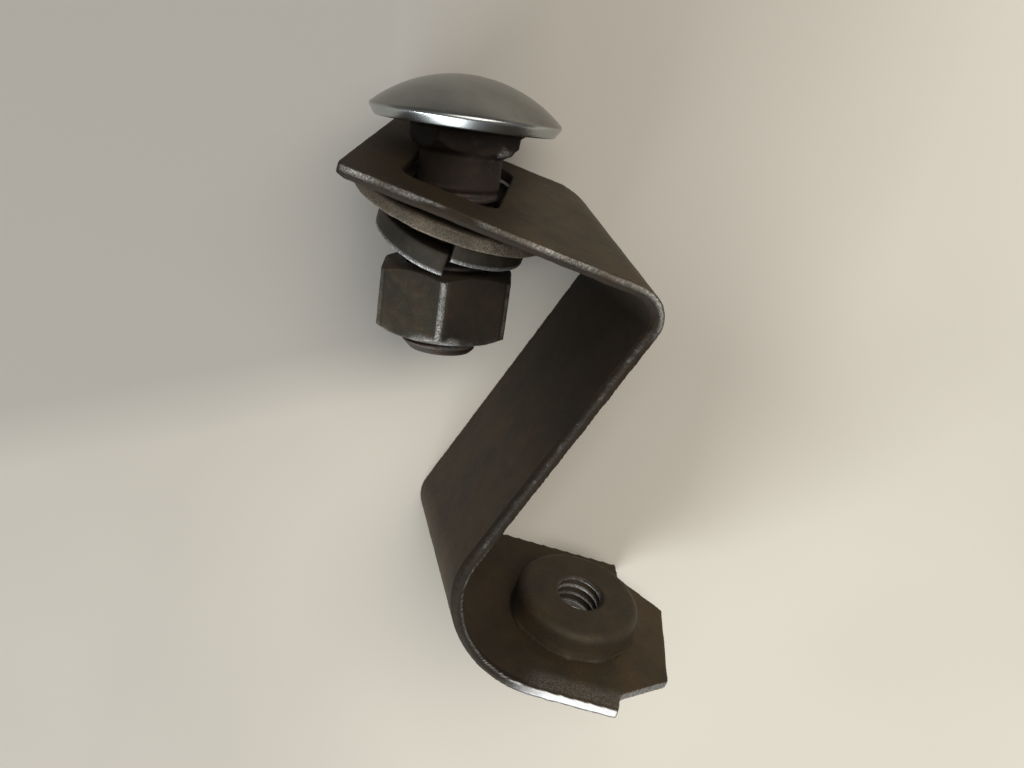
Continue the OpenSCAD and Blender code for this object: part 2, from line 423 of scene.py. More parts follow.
def bracket_strip(rows):
    """The folded strip with its slot, its hole and its cut ends, in a fine even mesh."""
    points = [p for row in rows for p in row]
    last = 4 * (len(rows) - 1)
    faces = [[3, 2, 1, 0], [last, last + 1, last + 2, last + 3]]
    for k in range(0, last, 4):
        faces += [
            [k + j, k + (j + 1) % 4, k + 4 + (j + 1) % 4, k + 4 + j] for j in range(4)
        ]
    obj = new_object("bracket_strip", points, faces)

    slot = rounded_rectangle(SLOT_W, SLOT_L, SLOT_R, SLOT_FROM_TIP, STRIP_W / 2 + SLOT_OFFSET)
    cut(obj, plate_cutter(0, slot))
    cut(obj, plate_cutter(0, TIP_CLIP))
    reach = LOW_LEN + TONGUE_LEN
    beside = (STRIP_W - TONGUE_W) / 2
    near_cut = [(LOW_LEN, -3), (LOW_LEN + 0.15, 0), (LOW_LEN + 0.5, 3.0), (LOW_LEN + 1.2, 3.7),
                (reach, beside), (reach + 3, beside), (reach + 3, -3)]
    far_cut = [(u, STRIP_W - v) for u, v in near_cut]
    cut(obj, plate_cutter(2, near_cut))
    cut(obj, plate_cutter(2, far_cut))
    hole = [(LOW_HOLE_R * math.cos(a), LOW_HOLE_R * math.sin(a))
            for a in np.linspace(0, 2 * math.pi, 64, endpoint=False)]
    cut(obj, prism("cutter", hole, -4, 3, BOSS_FOOT, ALONG[2], DOWN[2], FACE[2]))
    remesh(obj, 0.2)
    smooth(obj, 4)
    return obj


def edge_masks(p, travelled, depth):
    """Bare, painted-highlight and painted-shade shares on the sheared upper edge: granular silver
    on the top flange, specks along the web, a thin line round the second fold with a painted
    highlight, a near-white painted highlight on the lower flange, and painted shade on the top
    flange's edge beside the washer, on that edge's lower part and along the web's edge."""
    on_top = smoothstep(TOP_END + 2.0, TOP_END - 3.0, travelled)
    on_fold = smoothstep(FOLD2_START - 4.0, FOLD2_START + 4.0, travelled)
    on_low = smoothstep(FOLD2_END - 4.0, FOLD2_END + 4.0, travelled)
    by_washer = smoothstep(9.0, 12.0, travelled) * smoothstep(20.0, 16.5, travelled)
    outer_line = smoothstep(0.50, 0.15, depth)
    thin_line = smoothstep(0.38, 0.08, depth)
    inner_line = smoothstep(0.50, 0.15, np.abs(depth - 1.15))
    shiny = smoothstep(1.25, 0.85, depth)
    upper_part = smoothstep(0.85, 0.50, depth)
    speckled = smoothstep(0.05, 0.5, value_noise(p, 0.9, 22))
    fine_specks = smoothstep(0.15, 0.6, value_noise(p, 0.45, 24)) * speckled
    worn_ends = 0.4 * smoothstep(36.0, 42.0, travelled) + 0.3 * smoothstep(6.0, 2.0, travelled)
    grainy = np.clip(0.26 + 0.4 * value_noise(p, 2.2, 23) + worn_ends, 0, 1)

    bare_and_glint = on_top * grainy * upper_part * (1 - by_washer * (1 - outer_line))
    bare_and_glint += (1 - on_top) * (1 - on_fold) * inner_line * (0.08 + 0.27 * fine_specks)
    bare_and_glint += (on_fold - on_low) * thin_line * (0.65 + 0.35 * speckled)
    bare_and_glint += on_low * shiny
    # Painted highlight: near-white over the lower flange's edge and along the thin line round the
    # second fold
    painted_highlight = on_low * shiny
    painted_highlight += 0.75 * (on_fold - on_low) * thin_line * (0.3 + 0.7 * speckled)
    # Painted shade: dark on the top flange's edge beside the washer and on its lower part, and
    # along the web and the second fold
    painted_shade = on_top * np.maximum(by_washer * (1 - outer_line), 1 - upper_part)
    painted_shade += (1 - on_top) * (1 - on_low) * 0.65
    return np.clip(bare_and_glint, 0, 1), np.clip(painted_highlight, 0, 1), painted_shade


def make_bracket():
    rows = bracket_stations()
    obj = bracket_strip(rows)

    # Ragged long edges, slightly wavy faces, and the upper edge drawn down on its inner side
    p = points_of(obj)
    n = normals_of(obj)
    near = smoothstep(STRIP_H - 0.9, STRIP_H - 0.1, p[:, 2])
    far = smoothstep(0.9, 0.1, p[:, 2])
    ragged = (value_noise(p, 1.3, 1) * 0.05 + value_noise(p, 0.55, 2) * 0.05) * (near + 0.5 * far)
    grain = value_noise(p, 3.5, 3) * 0.035 + value_noise(p, 1.1, 4) * 0.012
    p += n * (ragged + grain * (1 - np.maximum(near, far)))[:, None]
    p[:, 2] = np.maximum(p[:, 2], 0.0)
    upper = np.nonzero(p[:, 2] > STRIP_H - 1.0)[0]
    line = np.array([row[0][:2] for row in rows])
    travelled, depth = edge_path(line, p[upper, :2])
    p[upper, 2] -= 0.45 * smoothstep(0.8, 1.7, depth) * near[upper]
    set_points(obj, p)

    p = points_of(obj)
    n = normals_of(obj)
    edge_bare_and_glint, edge_painted_highlight, edge_painted_shade = edge_masks(p[upper], travelled, depth)
    cut_face = smoothstep(0.60, 0.88, n[upper, 2])
    bare_and_glint, painted_highlight, painted_shade = np.zeros((3, len(p)))
    bare_and_glint[upper] = cut_face * edge_bare_and_glint
    painted_highlight[upper] = cut_face * edge_painted_highlight
    painted_shade[upper] = edge_painted_shade

    # On the lower flange, a worn band below the edge and the bare shoulder of the tongue
    beyond = (p - CORNER[2]) @ ALONG[2]
    below_edge = (p - CORNER[2]) @ DOWN[2]
    on_flange = smoothstep(1.0, 0.0, np.abs((p - CORNER[2]) @ FACE[2]))
    on_flange = on_flange * smoothstep(15.0, 19.0, beyond)
    worn_band = smoothstep(4.2, 2.0, below_edge) * smoothstep(0.2, 0.8, below_edge)
    bare_and_glint += 0.22 * on_flange * worn_band * (1 - bare_and_glint)
    shoulder_face = (
        smoothstep(0.35, 0.6, -(n @ DOWN[2])) * smoothstep(0.5, 0.3, np.abs(n @ FACE[2]))
        * smoothstep(LOW_LEN + 0.4, LOW_LEN + 0.9, beyond) * smoothstep(2.0, 3.0, below_edge)
    )
    bare_and_glint += 0.9 * shoulder_face

    # Painted shade over the web, most near the first fold where the top flange shadows it, on the
    # top flange round the neck under the cap, and on the slot's walls
    by_web = smoothstep(0.0, 3.0, (p - CORNER[1]) @ -LEVEL[0])
    by_fold = by_web * smoothstep(34.0, 6.0, (p - CORNER[1]) @ ALONG[1])
    from_tip = p - TIP
    by_neck = smoothstep(26.0, 18.0, from_tip @ ALONG[0]) * (1 - by_web)
    off_slot = np.maximum(
        np.abs(from_tip @ ALONG[0] - SLOT_FROM_TIP) - SLOT_W / 2,
        np.abs(from_tip @ DOWN[0] - STRIP_W / 2 - SLOT_OFFSET) - SLOT_L / 2,
    )
    slot_wall = smoothstep(0.35, 0.15, off_slot) * smoothstep(0.0, -0.4, from_tip @ FACE[0])
    painted_shade += 0.42 * by_web * (1 - on_flange) + 0.70 * by_fold + 0.70 * by_neck
    painted_shade += slot_wall * (1 - by_web)

    set_value(obj, "bare_and_glint", np.clip(bare_and_glint, 0, 1))
    set_value(obj, "painted_highlight", painted_highlight)
    set_value(obj, "painted_shade", np.clip(painted_shade, 0, 1))
    shade_smooth(obj)
    return obj


# ---------------------------------------------------------------- turned and threaded pieces


THREAD_CREST, THREAD_ROOT = 0.22, 0.12


def thread_height(z, theta, pitch, depth):
    """0 at the crest and depth at the root of a right-hand thread."""
    phase = (z / pitch - theta / (2 * math.pi)) % 1.0
    up = np.abs(phase - 0.5) * 2
    return depth * np.clip((up - THREAD_CREST) / (1 - THREAD_CREST - THREAD_ROOT), 0, 1)


def make_weld_nut():
    angles = 240
    theta = np.linspace(0, 2 * math.pi, angles, endpoint=False)[:, None]
    outer = rounded(
        [(BOSS_THREAD_R + 0.6, 0.0), (BOSS_R + 0.35, 0.0), (BOSS_R + 0.10, 0.5),
         (BOSS_R - 0.05, 1.6), (BOSS_R - 0.25, BOSS_H), (BOSS_THREAD_R + 0.5, BOSS_H),
         (BOSS_THREAD_R, BOSS_H - 0.5)],
        [0, 0.1, 0.4, 0.8, 1.5, 0.3, 0], False, 6)
    outer = resample(outer, 0.35)
    bore_z = np.linspace(BOSS_H - 0.5, -STRIP_T, 64)
    rows = len(outer) + len(bore_z)
    radius = np.empty((angles, rows))
    height = np.empty((angles, rows))
    radius[:, :len(outer)] = outer[:, 0]
    height[:, :len(outer)] = outer[:, 1]
    thread = thread_height(bore_z[None, :], theta, BOSS_PITCH, 0.75)
    radius[:, len(outer):] = BOSS_THREAD_R + thread
    height[:, len(outer):] = bore_z
    obj = turned_grid("weld_nut_boss", radius, height, BOSS_FOOT, ALONG[2], BOSS_AXIS, True)
    p = points_of(obj)
    n = normals_of(obj)
    up, r = along_and_off(p, BOSS_FOOT, BOSS_AXIS)
    bead = smoothstep(1.4, 0.2, up) * smoothstep(BOSS_R - 0.6, BOSS_R + 0.3, r)
    outside = smoothstep(BOSS_THREAD_R + 0.9, BOSS_THREAD_R + 1.6, r)
    p += n * (bead * (value_noise(p, 2.6, 5) * 0.30 + value_noise(p, 1.0, 6) * 0.10)
              + outside * (value_noise(p, 4.0, 7) * 0.06 + value_noise(p, 0.9, 8) * 0.02))[:, None]
    set_points(obj, p)
    # In the bore: bare thread crests, fewer deeper in, and painted shade in the thread roots and
    # deeper in the bore
    in_bore = smoothstep(BOSS_THREAD_R + 0.8, BOSS_THREAD_R + 0.1, r)
    crest = smoothstep(BOSS_THREAD_R + 0.25, BOSS_THREAD_R + 0.05, r)
    deep = smoothstep(BOSS_H - 0.8, BOSS_H - 3.0, up)
    set_value(obj, "bare_and_glint", in_bore * crest * 0.7 * (1 - 0.7 * deep))
    set_value(obj, "painted_shade", in_bore * np.clip(0.5 * (1 - crest) + 0.5 * deep, 0, 1))
    return obj


def polygon_radius(theta, sides, half, corner):
    """Distance from the middle to a regular polygon with rounded corners, at each angle."""
    wedge = math.pi / sides
    a = (theta + wedge) % (2 * wedge) - wedge
    flat = half / np.cos(a)
    d = (half - corner) / math.cos(wedge)
    delta = wedge - np.abs(a)
    inside = np.clip(corner**2 - (d * np.sin(delta))**2, 0, None)
    arc = d * np.cos(delta) + np.sqrt(inside)
    return np.where(inside > 0, np.minimum(flat, arc), flat)


def make_bolt():
    angles = 192
    neck_rows = 34
    theta = np.linspace(0, 2 * math.pi, angles, endpoint=False)[:, None]
    band_top = RIM_LOW + BAND_H
    neck_end = RIM_LOW - NECK_LEN
    end = RIM_LOW - BOLT_LEN
    head = resample([(0.4, band_top + 4.2), (CAP_R / 2, band_top + 3.0),
                     (CAP_R - 1.2, band_top + 0.1), (CAP_R - 1.6, RIM_LOW + 0.8),
                     (NECK_W / 2 + 3.2, RIM_LOW + 0.55)], 0.8)
    neck_z = np.linspace(RIM_LOW + 0.5, neck_end - 0.9, neck_rows)
    shank_z = np.arange(neck_end - 1.0, end + 0.001, -0.13)
    rows = len(head) + neck_rows + len(shank_z)
    radius = np.empty((angles, rows))
    height = np.empty((angles, rows))
    k = len(head)
    radius[:, :k] = head[:, 0]
    height[:, :k] = head[:, 1]

    # The square neck, trimmed by a cone and flared where it meets the head
    square = polygon_radius(theta - NECK_TURN, 4, NECK_W / 2, 0.9)
    below = RIM_LOW - neck_z[None, :]
    cone = NECK_W / 2 + 4.3 - 3.8 * np.clip(below / NECK_LEN, 0, 1)
    neck = np.minimum(square, cone)
    flare = 1.4 * smoothstep(0.7, -0.5, below)
    to_shank = smoothstep(NECK_LEN - 0.45, NECK_LEN + 0.55, below)
    radius[:, k:k + neck_rows] = (neck + flare) * (1 - to_shank) + BOLT_R * to_shank
    height[:, k:k + neck_rows] = neck_z
    k += neck_rows
    depth = 0.98 * smoothstep(-1.2, -3.4, shank_z) * smoothstep(end - 0.6, end + 0.2, shank_z)
    thread = thread_height(shank_z[None, :], theta, BOLT_PITCH, 1.0) * depth
    chamfer = np.clip(end + TIP_CHAMFER - shank_z, 0, None)[None, :]
    radius[:, k:] = np.minimum(BOLT_R - 0.02 - thread, BOLT_R + 0.1 - chamfer)
    height[:, k:] = shank_z
    obj = turned_grid("carriage_bolt_shank", radius, height, BOLT_FOOT, BOLT_SIDE, BOLT_AXIS, False)

    p = points_of(obj)
    n = normals_of(obj)
    h, r = along_and_off(p, BOLT_FOOT, BOLT_AXIS)
    on_neck = smoothstep(neck_end - 1.0, neck_end + 0.6, h) * smoothstep(RIM_LOW + 0.6, RIM_LOW, h)
    right_side = smoothstep(-0.1, 0.8, (p - BOLT_FOOT) @ BOLT_SIDE / np.maximum(r, 0.1))
    burr = on_neck * smoothstep(RIM_LOW - 0.8, neck_end, h) * (0.25 + 0.75 * right_side)
    lump = value_noise(p, 1.9, 9) * 0.30 + value_noise(p, 0.8, 10) * 0.15
    shank = smoothstep(neck_end, neck_end - 1.0, h) * smoothstep(-2.5, -1.0, h)
    p += n * (on_neck * value_noise(p, 3.0, 11) * 0.12 + burr * lump
              + shank * value_noise(p, 1.6, 12) * 0.05)[:, None]
    set_points(obj, p)
    crest = smoothstep(BOLT_R - 0.3, BOLT_R - 0.05, r) * smoothstep(-2.0, -4.0, h)
    bright_burr = burr * right_side * smoothstep(0.1, 0.32, lump)
    set_value(obj, "bare_and_glint", np.clip(0.12 * crest + 0.8 * bright_burr, 0, 1))
    # Painted shade on the neck and under the cap, fading out along the shank, and lighter on the
    # right side
    set_value(obj, "painted_shade", smoothstep(-2.5, -1.0, h) * (1.0 - 0.45 * right_side))
    return obj


def make_cap():
    angles = 256
    band_top = RIM_LOW + BAND_H
    ball = (CAP_R**2 + DOME_RISE**2) / (2 * DOME_RISE)
    edge_angle = math.asin((CAP_R - 0.35) / ball)
    dome = [(ball * math.sin(a), band_top + DOME_RISE - ball + ball * math.cos(a))
            for a in np.linspace(0.004, edge_angle, 60)]
    outer = dome + rounded([dome[-1], (CAP_R, band_top - 0.05), (CAP_R - RIM_IN, RIM_LOW),
                            (LIP_R, RIM_LOW), (LIP_R, RIM_LOW + CAP_T)],
                           [0, 0.45, 0.42, 0.12, 0], False, 8)[1:]
    inner = [(CAP_R - RIM_IN - 0.55, RIM_LOW + CAP_T), (CAP_R - 0.62, band_top - 0.1)]
    inner += [(r - 0.35 * r / CAP_R, z - CAP_T) for r, z in dome[::-4]]
    profile = resample(outer + inner, 0.5)
    radius = np.repeat(profile[None, :, 0], angles, axis=0)
    height = np.repeat(profile[None, :, 1], angles, axis=0)
    obj = turned_grid("head_cap_shell", radius, height, BOLT_FOOT, BOLT_SIDE, BOLT_AXIS, False)
    p = points_of(obj)
    n = normals_of(obj)
    p += n * (value_noise(p, 6.0, 13) * 0.02 + value_noise(p, 2.2, 14) * 0.006)[:, None]
    set_points(obj, p)
    h, _ = along_and_off(p, BOLT_FOOT, BOLT_AXIS)
    # A painted highlight: the rim band below the dome is given a lighter colour
    set_value(obj, "painted_highlight", smoothstep(band_top + 0.15, band_top - 0.15, h))
    return obj


def make_flat_washer():
    angles = 240
    top, low = FLAT_T / 2, -FLAT_T / 2
    profile = rounded([(FLAT_HOLE_R, low), (FLAT_R, low), (FLAT_R, top), (FLAT_HOLE_R, top)],
                      [0.25, 0.35, 0.6, 0.4], True, 6)
    profile = resample(profile + [profile[0]], 0.4)[:-1]
    radius = np.repeat(profile[None, :, 0], angles, axis=0)
    height = np.repeat(profile[None, :, 1], angles, axis=0)
    middle = STRIP_T + FLAT_GAP + FLAT_T / 2
    origin = BOLT_FOOT - BOLT_AXIS * middle / (BOLT_AXIS @ FACE[0])
    obj = turned_grid("flat_washer_disc", radius, height, origin, ALONG[0], FACE[0], True)
    p = points_of(obj)
    n = normals_of(obj)
    h, r = along_and_off(p, origin, FACE[0])
    rim = smoothstep(FLAT_R - 0.8, FLAT_R - 0.2, r)
    p += n * (value_noise(p, 3.0, 15) * 0.05 + rim * value_noise(p, 1.2, 16) * 0.06)[:, None]
    set_points(obj, p)
    right = smoothstep(-0.3, 0.8, (p - origin) @ ALONG[0] / FLAT_R)
    rubbed = 0.75 + 0.75 * value_noise(p, 3.2, 25)
    set_value(obj, "bare_and_glint", rim * rubbed * (0.18 + 0.42 * right + 0.2 * smoothstep(-0.5, -0.95, h)))
    # Painted shade over the inner part of the washer, which lies in the slot's shadow
    set_value(obj, "painted_shade", smoothstep(FLAT_R - 3.5, FLAT_R - 6.0, r))
    return obj


def make_lock_washer():
    rings = 220
    section = rounded([(LOCK_HOLE_R, -LOCK_T / 2), (LOCK_R, -LOCK_T / 2),
                       (LOCK_R, LOCK_T / 2), (LOCK_HOLE_R, LOCK_T / 2)],
                      [0.3, 0.28, 0.28, 0.3], True, 4)
    section = resample(section + [section[0]], 0.45)[:-1]
    count = len(section)
    origin = BOLT_FOOT - BOLT_AXIS * LOCK_MID
    across = np.cross(LOCK_AXIS, LOCK_SIDE)

    def rise(turn):
        """How far the ring lies above its mean plane, where turn is 0 to 1 round it."""
        return LOCK_SET * (0.5 - turn) - LOCK_DROOP * smoothstep(0.8, 1.0, turn)

    points = []
    for k in range(rings + 1):
        a = LOCK_START + LOCK_SWEEP * k / rings
        outward = math.cos(a) * LOCK_SIDE + math.sin(a) * across
        for r, h in section:
            points.append(origin + r * outward + (h + rise(k / rings)) * LOCK_AXIS)
    faces = []
    for k in range(rings):
        for j in range(count):
            m = (j + 1) % count
            faces.append([k * count + j, k * count + m, (k + 1) * count + m, (k + 1) * count + j])
    faces.append(list(range(count))[::-1])
    faces.append([rings * count + j for j in range(count)])
    obj = new_object("lock_washer_ring", points, faces)
    shade_smooth(obj)
    for face in obj.data.polygons[-2:]:
        face.use_smooth = False

    p = points_of(obj)
    n = normals_of(obj)
    h, r = along_and_off(p, origin, LOCK_AXIS)
    p += n * (value_noise(p, 2.4, 17) * 0.05 + value_noise(p, 0.9, 18) * 0.02)[:, None]
    set_points(obj, p)
    from_low = h - rise(np.arange(len(p)) // count / rings) + LOCK_T / 2
    worn = smoothstep(0.55, 0.1, from_low) * smoothstep(LOCK_R - 0.5, LOCK_R - 0.1, r)
    set_value(obj, "bare_and_glint", worn)
    # Painted shade over the inner part of the ring
    set_value(obj, "painted_shade", smoothstep(LOCK_R - 0.8, LOCK_R - 2.5, r))
    return obj


def make_nut():
    angles = 360
    theta = np.linspace(0, 2 * math.pi, angles, endpoint=False)[:, None]
    rim = polygon_radius(theta - NUT_TURN + math.pi / 6, 6, NUT_AF / 2, 0.55)
    face_r = NUT_AF / 2 - 0.35
    bore = BOLT_R + 0.06
    mouth = bore + 0.75
    chamfer = (rim - face_r) * math.tan(math.radians(30))
    rows_r, rows_h = [], []

    def row(r, h):
        rows_r.append(np.broadcast_to(r, (angles, 1)))
        rows_h.append(np.broadcast_to(h, (angles, 1)))

    for k in range(9):
        row(mouth + (face_r - mouth) * k / 8, 0.0)
    for k in range(1, 9):
        row(face_r + (rim - face_r) * k / 8, chamfer * k / 8)
    for k in range(1, 40):
        row(rim, chamfer + (NUT_H - 2 * chamfer) * k / 40)
    for k in range(8, -1, -1):
        row(face_r + (rim - face_r) * k / 8, NUT_H - chamfer * k / 8)
    for k in range(7, -1, -1):
        row(mouth + (face_r - mouth) * k / 8, NUT_H)
    for z in np.linspace(NUT_H - 0.5, 0.5, 60):
        row(bore + thread_height(z - NUT_FROM_FLANGE - NUT_H, theta, BOLT_PITCH, 0.85), z)
    radius, height = np.hstack(rows_r), np.hstack(rows_h)
    origin = BOLT_FOOT - BOLT_AXIS * (NUT_FROM_FLANGE + NUT_H)
    obj = turned_grid("hex_nut_body", radius, height, origin, BOLT_SIDE, BOLT_AXIS, True)

    p = points_of(obj)
    n = normals_of(obj)
    h, r = along_and_off(p, origin, BOLT_AXIS)
    outside = smoothstep(bore + 1.2, bore + 2.0, r)
    uneven = value_noise(p, 3.5, 19) * 0.05 + value_noise(p, 1.0, 20) * 0.02
    p += n * (outside * uneven)[:, None]
    set_points(obj, p)
    # Bare metal on the corners and the lower edge, kept mostly to those facing up: partly wear,
    # partly a painted glint
    facing_up = smoothstep(0.90, 0.99, ((p - origin) @ UP - h * (BOLT_AXIS @ UP)) / r)
    corner = smoothstep(NUT_AF / 2 * 1.118, NUT_AF / 2 * 1.138, r) * (0.15 + 0.85 * facing_up)
    low_edge = smoothstep(1.5, 0.3, h) * smoothstep(NUT_AF / 2 - 0.7, NUT_AF / 2, r)
    low_edge = low_edge * (0.12 + 0.9 * facing_up)
    patch = np.clip(0.42 + 0.62 * value_noise(p, 1.0, 21), 0, 1)
    set_value(obj, "bare_and_glint", np.clip(corner + low_edge, 0, 1) * patch * outside)
    # Painted shade: a little all round and most on the side facing away from the window light
    set_value(obj, "painted_shade", 0.2 + 0.6 * smoothstep(-0.1, 0.4, (p - origin) @ BOLT_SIDE / r))
    return obj


# ---------------------------------------------------------------- materials


def node_tree(name):
    """A new material with an empty node tree."""
    material = bpy.data.materials.new(name)
    material.use_nodes = True
    nodes = material.node_tree.nodes
    nodes.clear()
    return material, nodes, material.node_tree.links


def mm_coordinates(nodes, links):
    where = nodes.new("ShaderNodeTexCoord")
    scale = nodes.new("ShaderNodeMapping")
    scale.inputs["Scale"].default_value = [1 / MM] * 3
    links.new(where.outputs["Object"], scale.inputs["Vector"])
    return scale.outputs["Vector"]


def noise_node(nodes, links, vector, scale, detail, roughness):
    node = nodes.new("ShaderNodeTexNoise")
    node.inputs["Scale"].default_value = scale
    node.inputs["Detail"].default_value = detail
    node.inputs["Roughness"].default_value = roughness
    links.new(vector, node.inputs["Vector"])
    return node.outputs["Fac"]


def ramp(nodes, links, value, stops):
    node = nodes.new("ShaderNodeValToRGB")
    elements = node.color_ramp.elements
    for position, colour in stops[2:]:
        elements.new(position)
    for element, (position, colour) in zip(elements, stops):
        element.position = position
        element.color = (*colour, 1)
    links.new(value, node.inputs["Fac"])
    return node.outputs["Color"]


def mix(nodes, links, factor, a, b, kind="RGBA", blend="MIX"):
    node = nodes.new("ShaderNodeMix")
    node.data_type = kind
    node.blend_type = blend
    index = 6 if kind == "RGBA" else 2
    if hasattr(factor, "links"):
        links.new(factor, node.inputs[0])
    else:
        node.inputs[0].default_value = factor
    for socket, value in ((node.inputs[index], a), (node.inputs[index + 1], b)):
        if hasattr(value, "links"):
            links.new(value, socket)
        elif kind == "RGBA":
            socket.default_value = (*value, 1)
        else:
            socket.default_value = value
    return node.outputs[2 if kind == "RGBA" else 0]


def math_node(nodes, links, operation, a, b, clamp=False, c=0.0):
    """c is only used by MULTIPLY_ADD, which gives a * b + c."""
    node = nodes.new("ShaderNodeMath")
    node.operation = operation
    node.use_clamp = clamp
    for socket, value in zip(node.inputs, (a, b, c)):
        if hasattr(value, "links"):
            links.new(value, socket)
        else:
            socket.default_value = value
    return node.outputs[0]


def attribute(nodes, name):
    node = nodes.new("ShaderNodeAttribute")
    node.attribute_type = "GEOMETRY"
    node.attribute_name = name
    return node.outputs["Fac"]


def finish_surface(nodes, links, shader, height, strength, distance_mm):
    """Adds bump from a height, and the output that the shader goes to."""
    bump = nodes.new("ShaderNodeBump")
    bump.inputs["Strength"].default_value = strength
    bump.inputs["Distance"].default_value = distance_mm * MM
    links.new(height, bump.inputs["Height"])
    links.new(bump.outputs["Normal"], shader.inputs["Normal"])
    output = nodes.new("ShaderNodeOutputMaterial")
    links.new(shader.outputs["BSDF"], output.inputs["Surface"])


# Painted shade is near-black, rough and not metallic; the painted highlight is near-white and
# barely metallic
PAINTED_SHADE_COLOUR, PAINTED_SHADE_ROUGH = (0.008, 0.0045, 0.002), 0.8
PAINTED_HIGHLIGHT_COLOUR, PAINTED_HIGHLIGHT_METAL = (0.95, 0.97, 1.0), 0.15
STEEL_METAL, BARE_METAL, BARE_ROUGH = 0.3, 0.9, 0.36


def steel(name, dark, brown, rust, rust_amount, silver, rough):
    """Oxidised steel: dark scale with brown clouds, rust specks, bare metal where worn, painted
    shade and a near-white painted highlight.
    """
    material, nodes, links = node_tree(name)
    where = mm_coordinates(nodes, links)
    clouds = noise_node(nodes, links, where, 0.16, 5, 0.6)
    patches = noise_node(nodes, links, where, 0.7, 4, 0.6)
    fine = noise_node(nodes, links, where, 5.5, 3, 0.7)
    scratchy = noise_node(nodes, links, where, 2.6, 4, 0.75)
    bare_and_glint = attribute(nodes, "bare_and_glint")
    painted_highlight = attribute(nodes, "painted_highlight")
    painted_shade = math_node(nodes, links, "MULTIPLY", attribute(nodes, "painted_shade"), 0.8)

    # Scale, rust and painted shade
    colour = ramp(nodes, links, clouds, [(0.32, dark), (0.68, brown)])
    rust_from = 0.56 - 0.16 * rust_amount
    speck = ramp(nodes, links, patches, [(rust_from, (0, 0, 0)), (0.80, (1, 1, 1))])
    rusty = math_node(nodes, links, "MULTIPLY", speck, rust_amount)
    colour = mix(nodes, links, rusty, colour, rust)
    shade = ramp(nodes, links, fine, [(0.3, (0.62, 0.62, 0.62)), (0.7, (1.35, 1.35, 1.35))])
    colour = mix(nodes, links, 0.8, colour, shade, blend="MULTIPLY")
    colour = mix(nodes, links, painted_shade, colour, PAINTED_SHADE_COLOUR)

    # Bare metal and painted glint, broken up by scratches, and the near-white painted highlight
    broken = ramp(nodes, links, scratchy, [(0.36, (0, 0, 0)), (0.60, (1, 1, 1))])
    patchy = math_node(nodes, links, "MULTIPLY_ADD", broken, 0.6, c=0.4)
    worn = math_node(nodes, links, "MULTIPLY", bare_and_glint, patchy, True)
    worn = math_node(nodes, links, "MAXIMUM", worn, painted_highlight)
    dull_silver = tuple(0.3 * c for c in silver)
    clear_silver = tuple(1.5 * c for c in silver)
    bright = ramp(nodes, links, fine, [(0.40, dull_silver), (0.62, clear_silver)])
    bright = mix(nodes, links, painted_highlight, bright, PAINTED_HIGHLIGHT_COLOUR)
    colour = mix(nodes, links, worn, colour, bright)

    shader = nodes.new("ShaderNodeBsdfPrincipled")
    shader.inputs["Specular IOR Level"].default_value = 0.25
    links.new(colour, shader.inputs["Base Color"])
    roughness = mix(nodes, links, patches, rough - 0.08, rough + 0.16, kind="FLOAT")
    roughness = mix(nodes, links, painted_shade, roughness, PAINTED_SHADE_ROUGH, kind="FLOAT")
    roughness = mix(nodes, links, worn, roughness, BARE_ROUGH, kind="FLOAT")
    links.new(roughness, shader.inputs["Roughness"])
    metal = mix(nodes, links, painted_shade, STEEL_METAL, 0.0, kind="FLOAT")
    metal = mix(nodes, links, worn, metal, BARE_METAL, kind="FLOAT")
    metal = mix(nodes, links, painted_highlight, metal, PAINTED_HIGHLIGHT_METAL, kind="FLOAT")
    links.new(metal, shader.inputs["Metallic"])

    height = math_node(
        nodes, links, "ADD",
        math_node(nodes, links, "MULTIPLY", fine, 0.5),
        math_node(nodes, links, "MULTIPLY", patches, 0.9),
    )
    scratch = math_node(nodes, links, "MULTIPLY", bare_and_glint, 1.6)
    scratch = math_node(nodes, links, "MULTIPLY", scratchy, scratch)
    height = math_node(nodes, links, "ADD", height, scratch)
    finish_surface(nodes, links, shader, height, 0.42, 0.12)
    return material


def chrome(name):
    """Dulled plating, hazy in soft patches, with a painted highlight: a lighter colour on the rim
    band.
    """
    material, nodes, links = node_tree(name)
    where = mm_coordinates(nodes, links)
    haze = noise_node(nodes, links, where, 0.22, 4, 0.6)
    fine = noise_node(nodes, links, where, 4.0, 3, 0.6)
    colour = ramp(nodes, links, haze, [(0.3, (0.22, 0.22, 0.21)), (0.7, (0.29, 0.29, 0.275))])
    # Painted highlight: a lighter colour on the cap's rim band
    colour = mix(nodes, links, attribute(nodes, "painted_highlight"), colour, (0.42, 0.44, 0.44))
    shader = nodes.new("ShaderNodeBsdfPrincipled")
    links.new(colour, shader.inputs["Base Color"])
    shader.inputs["Metallic"].default_value = 1.0
    roughness = mix(nodes, links, haze, 0.22, 0.36, kind="FLOAT")
    links.new(roughness, shader.inputs["Roughness"])
    finish_surface(nodes, links, shader, fine, 0.03, 0.05)
    return material


